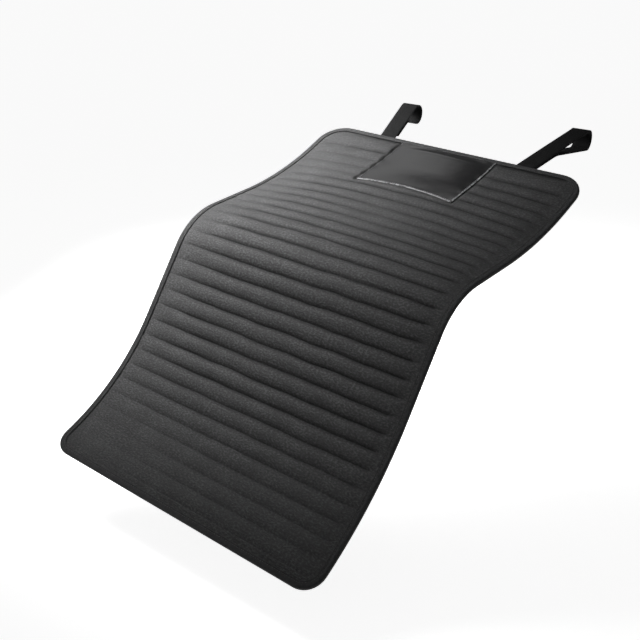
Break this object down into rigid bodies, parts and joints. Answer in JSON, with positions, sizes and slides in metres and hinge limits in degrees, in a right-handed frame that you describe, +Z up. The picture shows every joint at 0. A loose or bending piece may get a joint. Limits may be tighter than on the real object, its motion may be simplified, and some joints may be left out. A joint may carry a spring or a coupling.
{
  "type": "kayak roof pad",
  "caption": "Ribbed rear-window mat for loading a kayak: bound edge, smooth patch at the top, and strap loops that hang it from a roof crossbar.",
  "frame": {"origin": "on the crossbar's axis, in line with the mat's middle line", "axes": "+X across the mat to its right as seen from behind the car, +Y from the tail towards the crossbar, +Z up"},
  "size_m": [0.533, 0.8756, 0.4358],
  "materials": {
    "face_fabric": "matte close woven nylon over foam ribs",
    "backing_rubber": "matte non-slip rubberised sheet",
    "binding_tape": "woven tape with a slight sheen",
    "patch_vinyl": "smooth satin vinyl",
    "strap_webbing": "flat nylon webbing",
    "hook_and_loop": "matte pile and hooks",
    "thread": "bonded polyester thread"
  },
  "bodies": {
    "root": {"ribbed_pad": "face_fabric", "backing_sheet": "backing_rubber", "edge_binding": "binding_tape", "label_patch": "patch_vinyl", "strap_left": "strap_webbing", "strap_right": "strap_webbing", "loop_patch_left": "hook_and_loop", "loop_patch_right": "hook_and_loop", "hook_patch_left": "hook_and_loop", "hook_patch_right": "hook_and_loop", "bar_tack_left_upper": "thread", "bar_tack_left_lower": "thread", "bar_tack_right_upper": "thread", "bar_tack_right_lower": "thread"}
  },
  "joints": []
}
